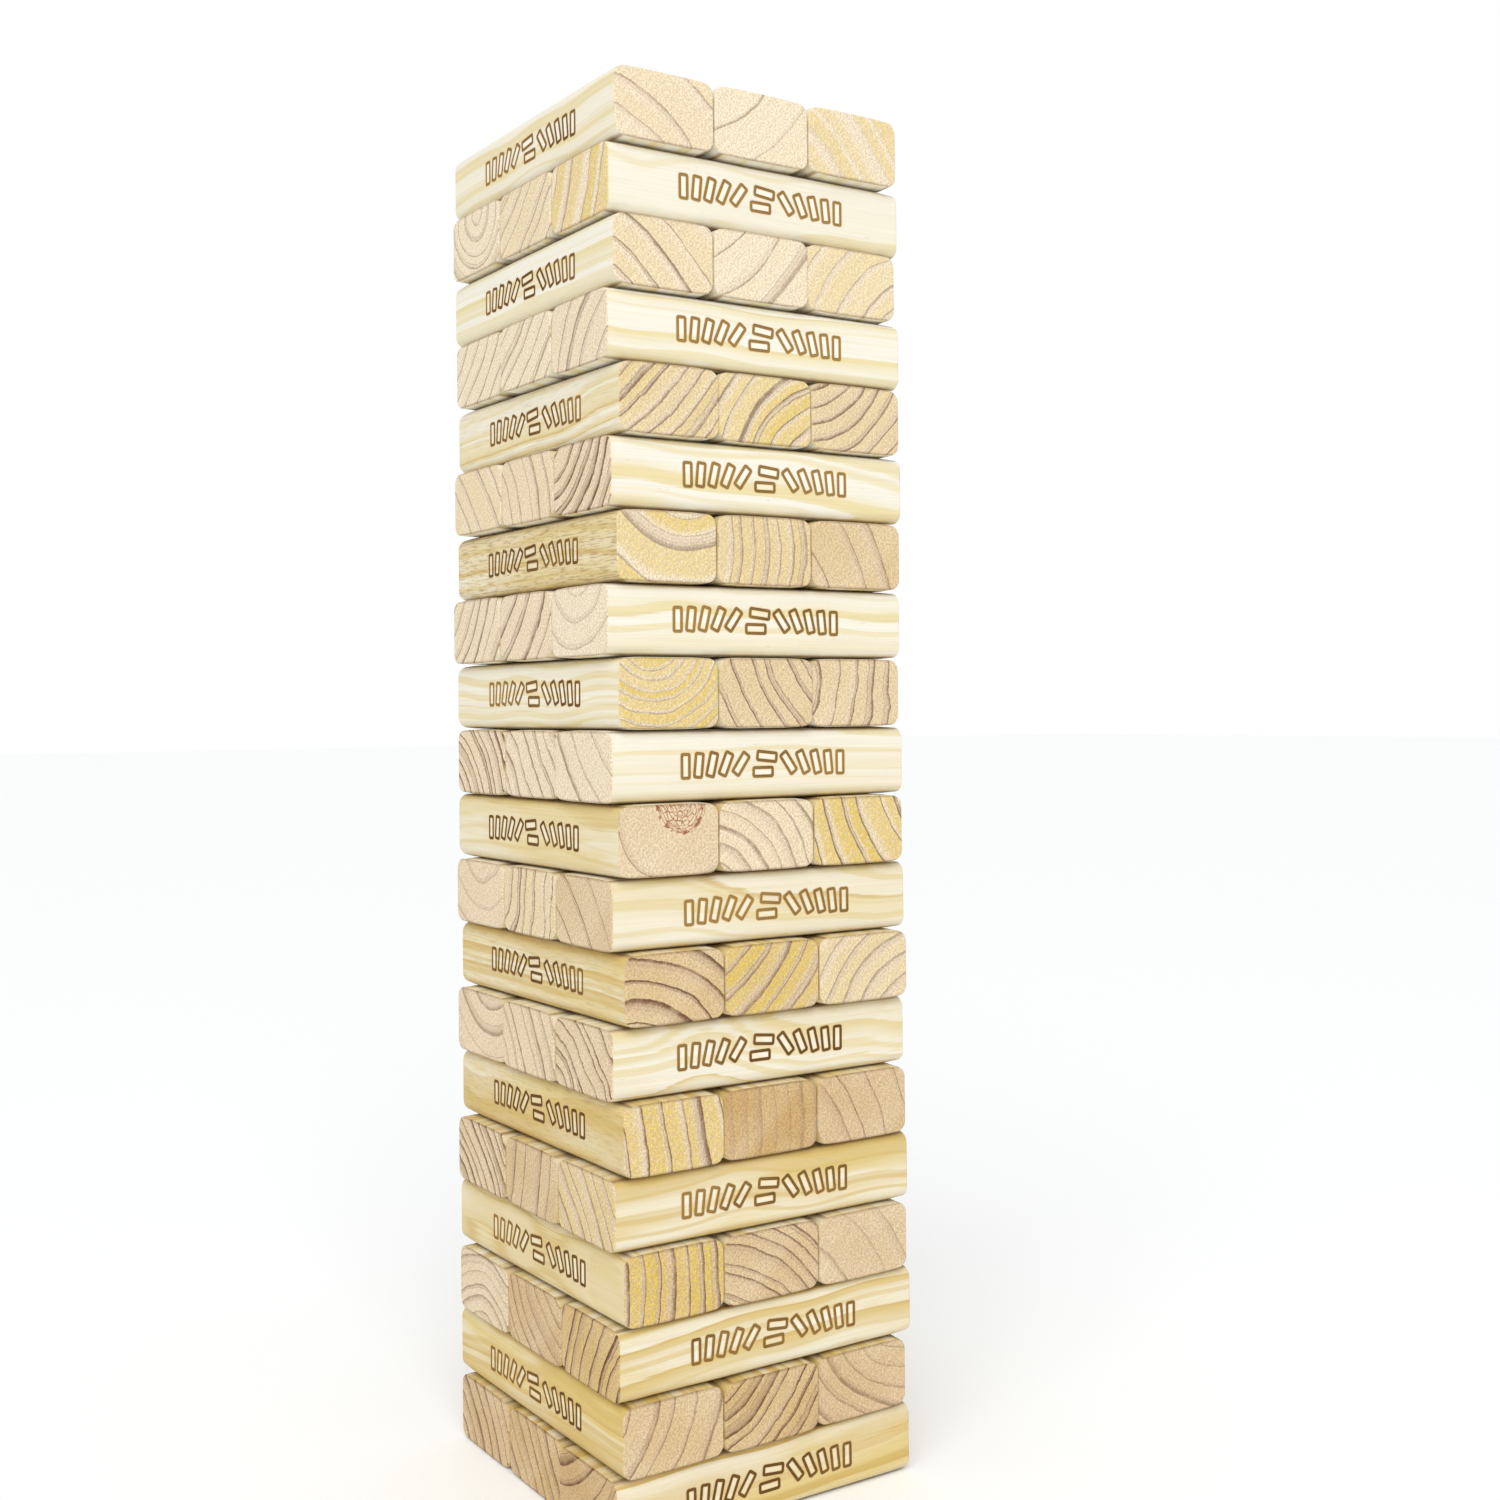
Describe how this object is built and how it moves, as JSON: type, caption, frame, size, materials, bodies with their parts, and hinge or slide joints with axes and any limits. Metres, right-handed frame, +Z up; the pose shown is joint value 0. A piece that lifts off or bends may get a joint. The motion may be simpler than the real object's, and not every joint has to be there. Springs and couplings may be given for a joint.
{
  "type": "giant tumbling tower",
  "caption": "Garden stacking game: a tall tower of loose pine blocks with rounded long edges, laid side by side in layers that cross at right angles.",
  "frame": {"origin": "on the ground, under the middle of the tower", "axes": "+Z up the tower; the blocks of odd layers, counted from the ground, lie along X and those of even layers lie along Y; front is -Y and left is -X"},
  "size_m": [0.1938, 0.1937, 0.762],
  "materials": {
    "pine": "planed and sanded pine, unvarnished, matt"
  },
  "bodies": {
    "layer_01_front_block": {"layer_01_front_block": "pine"},
    "layer_01_middle_block": {"layer_01_middle_block": "pine"},
    "layer_01_back_block": {"layer_01_back_block": "pine"},
    "layer_02_left_block": {"layer_02_left_block": "pine"},
    "layer_02_middle_block": {"layer_02_middle_block": "pine"},
    "layer_02_right_block": {"layer_02_right_block": "pine"},
    "layer_03_front_block": {"layer_03_front_block": "pine"},
    "layer_03_middle_block": {"layer_03_middle_block": "pine"},
    "layer_03_back_block": {"layer_03_back_block": "pine"},
    "layer_04_left_block": {"layer_04_left_block": "pine"},
    "layer_04_middle_block": {"layer_04_middle_block": "pine"},
    "layer_04_right_block": {"layer_04_right_block": "pine"},
    "layer_05_front_block": {"layer_05_front_block": "pine"},
    "layer_05_middle_block": {"layer_05_middle_block": "pine"},
    "layer_05_back_block": {"layer_05_back_block": "pine"},
    "layer_06_left_block": {"layer_06_left_block": "pine"},
    "layer_06_middle_block": {"layer_06_middle_block": "pine"},
    "layer_06_right_block": {"layer_06_right_block": "pine"},
    "layer_07_front_block": {"layer_07_front_block": "pine"},
    "layer_07_middle_block": {"layer_07_middle_block": "pine"},
    "layer_07_back_block": {"layer_07_back_block": "pine"},
    "layer_08_left_block": {"layer_08_left_block": "pine"},
    "layer_08_middle_block": {"layer_08_middle_block": "pine"},
    "layer_08_right_block": {"layer_08_right_block": "pine"},
    "layer_09_front_block": {"layer_09_front_block": "pine"},
    "layer_09_middle_block": {"layer_09_middle_block": "pine"},
    "layer_09_back_block": {"layer_09_back_block": "pine"},
    "layer_10_left_block": {"layer_10_left_block": "pine"},
    "layer_10_middle_block": {"layer_10_middle_block": "pine"},
    "layer_10_right_block": {"layer_10_right_block": "pine"},
    "layer_11_front_block": {"layer_11_front_block": "pine"},
    "layer_11_middle_block": {"layer_11_middle_block": "pine"},
    "layer_11_back_block": {"layer_11_back_block": "pine"},
    "layer_12_left_block": {"layer_12_left_block": "pine"},
    "layer_12_middle_block": {"layer_12_middle_block": "pine"},
    "layer_12_right_block": {"layer_12_right_block": "pine"},
    "layer_13_front_block": {"layer_13_front_block": "pine"},
    "layer_13_middle_block": {"layer_13_middle_block": "pine"},
    "layer_13_back_block": {"layer_13_back_block": "pine"},
    "layer_14_left_block": {"layer_14_left_block": "pine"},
    "layer_14_middle_block": {"layer_14_middle_block": "pine"},
    "layer_14_right_block": {"layer_14_right_block": "pine"},
    "layer_15_front_block": {"layer_15_front_block": "pine"},
    "layer_15_middle_block": {"layer_15_middle_block": "pine"},
    "layer_15_back_block": {"layer_15_back_block": "pine"},
    "layer_16_left_block": {"layer_16_left_block": "pine"},
    "layer_16_middle_block": {"layer_16_middle_block": "pine"},
    "layer_16_right_block": {"layer_16_right_block": "pine"},
    "layer_17_front_block": {"layer_17_front_block": "pine"},
    "layer_17_middle_block": {"layer_17_middle_block": "pine"},
    "layer_17_back_block": {"layer_17_back_block": "pine"},
    "layer_18_left_block": {"layer_18_left_block": "pine"},
    "layer_18_middle_block": {"layer_18_middle_block": "pine"},
    "layer_18_right_block": {"layer_18_right_block": "pine"},
    "layer_19_front_block": {"layer_19_front_block": "pine"},
    "layer_19_middle_block": {"layer_19_middle_block": "pine"},
    "layer_19_back_block": {"layer_19_back_block": "pine"},
    "layer_20_left_block": {"layer_20_left_block": "pine"},
    "layer_20_middle_block": {"layer_20_middle_block": "pine"},
    "layer_20_right_block": {"layer_20_right_block": "pine"}
  },
  "joints": [
    {"name": "layer_01_front_slide", "type": "slide", "parent": "layer_01_middle_block", "child": "layer_01_front_block", "axis": [-1, 0.0032, 0], "range_m": [-0.2, 0.2]},
    {"name": "layer_01_back_slide", "type": "slide", "parent": "layer_01_middle_block", "child": "layer_01_back_block", "axis": [-1, 0.0032, 0], "range_m": [-0.2, 0.2]},
    {"name": "layer_02_left_slide", "type": "slide", "parent": "layer_01_middle_block", "child": "layer_02_left_block", "axis": [-0.0003, -1, 0], "range_m": [-0.2, 0.2]},
    {"name": "layer_02_middle_slide", "type": "slide", "parent": "layer_01_middle_block", "child": "layer_02_middle_block", "axis": [-0.0003, -1, 0], "range_m": [-0.2, 0.2]},
    {"name": "layer_02_right_slide", "type": "slide", "parent": "layer_01_middle_block", "child": "layer_02_right_block", "axis": [-0.0003, -1, 0], "range_m": [-0.2, 0.2]},
    {"name": "layer_03_front_slide", "type": "slide", "parent": "layer_01_middle_block", "child": "layer_03_front_block", "axis": [-1, -0.0025, 0], "range_m": [-0.2, 0.2]},
    {"name": "layer_03_middle_slide", "type": "slide", "parent": "layer_01_middle_block", "child": "layer_03_middle_block", "axis": [-1, -0.0025, 0], "range_m": [-0.2, 0.2]},
    {"name": "layer_03_back_slide", "type": "slide", "parent": "layer_01_middle_block", "child": "layer_03_back_block", "axis": [-1, -0.0025, 0], "range_m": [-0.2, 0.2]},
    {"name": "layer_04_left_slide", "type": "slide", "parent": "layer_01_middle_block", "child": "layer_04_left_block", "axis": [0.0054, -1, 0], "range_m": [-0.2, 0.2]},
    {"name": "layer_04_middle_slide", "type": "slide", "parent": "layer_01_middle_block", "child": "layer_04_middle_block", "axis": [0.0054, -1, 0], "range_m": [-0.2, 0.2]},
    {"name": "layer_04_right_slide", "type": "slide", "parent": "layer_01_middle_block", "child": "layer_04_right_block", "axis": [0.0054, -1, 0], "range_m": [-0.2, 0.2]},
    {"name": "layer_05_front_slide", "type": "slide", "parent": "layer_01_middle_block", "child": "layer_05_front_block", "axis": [-1, 0.0039, 0], "range_m": [-0.2, 0.2]},
    {"name": "layer_05_middle_slide", "type": "slide", "parent": "layer_01_middle_block", "child": "layer_05_middle_block", "axis": [-1, 0.0039, 0], "range_m": [-0.2, 0.2]},
    {"name": "layer_05_back_slide", "type": "slide", "parent": "layer_01_middle_block", "child": "layer_05_back_block", "axis": [-1, 0.0039, 0], "range_m": [-0.2, 0.2]},
    {"name": "layer_06_left_slide", "type": "slide", "parent": "layer_01_middle_block", "child": "layer_06_left_block", "axis": [-0.001, -1, 0], "range_m": [-0.2, 0.2]},
    {"name": "layer_06_middle_slide", "type": "slide", "parent": "layer_01_middle_block", "child": "layer_06_middle_block", "axis": [-0.001, -1, 0], "range_m": [-0.2, 0.2]},
    {"name": "layer_06_right_slide", "type": "slide", "parent": "layer_01_middle_block", "child": "layer_06_right_block", "axis": [-0.001, -1, 0], "range_m": [-0.2, 0.2]},
    {"name": "layer_07_front_slide", "type": "slide", "parent": "layer_01_middle_block", "child": "layer_07_front_block", "axis": [-1, -0.0019, 0], "range_m": [-0.2, 0.2]},
    {"name": "layer_07_middle_slide", "type": "slide", "parent": "layer_01_middle_block", "child": "layer_07_middle_block", "axis": [-1, -0.0019, 0], "range_m": [-0.2, 0.2]},
    {"name": "layer_07_back_slide", "type": "slide", "parent": "layer_01_middle_block", "child": "layer_07_back_block", "axis": [-1, -0.0019, 0], "range_m": [-0.2, 0.2]},
    {"name": "layer_08_left_slide", "type": "slide", "parent": "layer_01_middle_block", "child": "layer_08_left_block", "axis": [0.0047, -1, 0], "range_m": [-0.2, 0.2]},
    {"name": "layer_08_middle_slide", "type": "slide", "parent": "layer_01_middle_block", "child": "layer_08_middle_block", "axis": [0.0047, -1, 0], "range_m": [-0.2, 0.2]},
    {"name": "layer_08_right_slide", "type": "slide", "parent": "layer_01_middle_block", "child": "layer_08_right_block", "axis": [0.0047, -1, 0], "range_m": [-0.2, 0.2]},
    {"name": "layer_09_front_slide", "type": "slide", "parent": "layer_01_middle_block", "child": "layer_09_front_block", "axis": [-1, 0.0046, 0], "range_m": [-0.2, 0.2]},
    {"name": "layer_09_middle_slide", "type": "slide", "parent": "layer_01_middle_block", "child": "layer_09_middle_block", "axis": [-1, 0.0046, 0], "range_m": [-0.2, 0.2]},
    {"name": "layer_09_back_slide", "type": "slide", "parent": "layer_01_middle_block", "child": "layer_09_back_block", "axis": [-1, 0.0046, 0], "range_m": [-0.2, 0.2]},
    {"name": "layer_10_left_slide", "type": "slide", "parent": "layer_01_middle_block", "child": "layer_10_left_block", "axis": [-0.0017, -1, 0], "range_m": [-0.2, 0.2]},
    {"name": "layer_10_middle_slide", "type": "slide", "parent": "layer_01_middle_block", "child": "layer_10_middle_block", "axis": [-0.0017, -1, 0], "range_m": [-0.2, 0.2]},
    {"name": "layer_10_right_slide", "type": "slide", "parent": "layer_01_middle_block", "child": "layer_10_right_block", "axis": [-0.0017, -1, 0], "range_m": [-0.2, 0.2]},
    {"name": "layer_11_front_slide", "type": "slide", "parent": "layer_01_middle_block", "child": "layer_11_front_block", "axis": [-1, -0.0012, 0], "range_m": [-0.2, 0.2]},
    {"name": "layer_11_middle_slide", "type": "slide", "parent": "layer_01_middle_block", "child": "layer_11_middle_block", "axis": [-1, -0.0012, 0], "range_m": [-0.2, 0.2]},
    {"name": "layer_11_back_slide", "type": "slide", "parent": "layer_01_middle_block", "child": "layer_11_back_block", "axis": [-1, -0.0012, 0], "range_m": [-0.2, 0.2]},
    {"name": "layer_12_left_slide", "type": "slide", "parent": "layer_01_middle_block", "child": "layer_12_left_block", "axis": [0.0041, -1, 0], "range_m": [-0.2, 0.2]},
    {"name": "layer_12_middle_slide", "type": "slide", "parent": "layer_01_middle_block", "child": "layer_12_middle_block", "axis": [0.0041, -1, 0], "range_m": [-0.2, 0.2]},
    {"name": "layer_12_right_slide", "type": "slide", "parent": "layer_01_middle_block", "child": "layer_12_right_block", "axis": [0.0041, -1, 0], "range_m": [-0.2, 0.2]},
    {"name": "layer_13_front_slide", "type": "slide", "parent": "layer_01_middle_block", "child": "layer_13_front_block", "axis": [-1, 0.0053, 0], "range_m": [-0.2, 0.2]},
    {"name": "layer_13_middle_slide", "type": "slide", "parent": "layer_01_middle_block", "child": "layer_13_middle_block", "axis": [-1, 0.0053, 0], "range_m": [-0.2, 0.2]},
    {"name": "layer_13_back_slide", "type": "slide", "parent": "layer_01_middle_block", "child": "layer_13_back_block", "axis": [-1, 0.0053, 0], "range_m": [-0.2, 0.2]},
    {"name": "layer_14_left_slide", "type": "slide", "parent": "layer_01_middle_block", "child": "layer_14_left_block", "axis": [-0.0024, -1, 0], "range_m": [-0.2, 0.2]},
    {"name": "layer_14_middle_slide", "type": "slide", "parent": "layer_01_middle_block", "child": "layer_14_middle_block", "axis": [-0.0024, -1, 0], "range_m": [-0.2, 0.2]},
    {"name": "layer_14_right_slide", "type": "slide", "parent": "layer_01_middle_block", "child": "layer_14_right_block", "axis": [-0.0024, -1, 0], "range_m": [-0.2, 0.2]},
    {"name": "layer_15_front_slide", "type": "slide", "parent": "layer_01_middle_block", "child": "layer_15_front_block", "axis": [-1, -0.0005, 0], "range_m": [-0.2, 0.2]},
    {"name": "layer_15_middle_slide", "type": "slide", "parent": "layer_01_middle_block", "child": "layer_15_middle_block", "axis": [-1, -0.0005, 0], "range_m": [-0.2, 0.2]},
    {"name": "layer_15_back_slide", "type": "slide", "parent": "layer_01_middle_block", "child": "layer_15_back_block", "axis": [-1, -0.0005, 0], "range_m": [-0.2, 0.2]},
    {"name": "layer_16_left_slide", "type": "slide", "parent": "layer_01_middle_block", "child": "layer_16_left_block", "axis": [0.0034, -1, 0], "range_m": [-0.2, 0.2]},
    {"name": "layer_16_middle_slide", "type": "slide", "parent": "layer_01_middle_block", "child": "layer_16_middle_block", "axis": [0.0034, -1, 0], "range_m": [-0.2, 0.2]},
    {"name": "layer_16_right_slide", "type": "slide", "parent": "layer_01_middle_block", "child": "layer_16_right_block", "axis": [0.0034, -1, 0], "range_m": [-0.2, 0.2]},
    {"name": "layer_17_front_slide", "type": "slide", "parent": "layer_01_middle_block", "child": "layer_17_front_block", "axis": [-1, 0.006, 0], "range_m": [-0.2, 0.2]},
    {"name": "layer_17_middle_slide", "type": "slide", "parent": "layer_01_middle_block", "child": "layer_17_middle_block", "axis": [-1, 0.006, 0], "range_m": [-0.2, 0.2]},
    {"name": "layer_17_back_slide", "type": "slide", "parent": "layer_01_middle_block", "child": "layer_17_back_block", "axis": [-1, 0.006, 0], "range_m": [-0.2, 0.2]},
    {"name": "layer_18_left_slide", "type": "slide", "parent": "layer_01_middle_block", "child": "layer_18_left_block", "axis": [-0.0031, -1, 0], "range_m": [-0.2, 0.2]},
    {"name": "layer_18_middle_slide", "type": "slide", "parent": "layer_01_middle_block", "child": "layer_18_middle_block", "axis": [-0.0031, -1, 0], "range_m": [-0.2, 0.2]},
    {"name": "layer_18_right_slide", "type": "slide", "parent": "layer_01_middle_block", "child": "layer_18_right_block", "axis": [-0.0031, -1, 0], "range_m": [-0.2, 0.2]},
    {"name": "layer_19_front_slide", "type": "slide", "parent": "layer_01_middle_block", "child": "layer_19_front_block", "axis": [-1, 0.0002, 0], "range_m": [-0.2, 0.2]},
    {"name": "layer_19_middle_slide", "type": "slide", "parent": "layer_01_middle_block", "child": "layer_19_middle_block", "axis": [-1, 0.0002, 0], "range_m": [-0.2, 0.2]},
    {"name": "layer_19_back_slide", "type": "slide", "parent": "layer_01_middle_block", "child": "layer_19_back_block", "axis": [-1, 0.0002, 0], "range_m": [-0.2, 0.2]},
    {"name": "layer_20_left_lift", "type": "slide", "parent": "layer_01_middle_block", "child": "layer_20_left_block", "axis": [0, 0, 1], "range_m": [0, 0.1]},
    {"name": "layer_20_middle_lift", "type": "slide", "parent": "layer_01_middle_block", "child": "layer_20_middle_block", "axis": [0, 0, 1], "range_m": [0, 0.1]},
    {"name": "layer_20_right_lift", "type": "slide", "parent": "layer_01_middle_block", "child": "layer_20_right_block", "axis": [0, 0, 1], "range_m": [0, 0.1]}
  ]
}
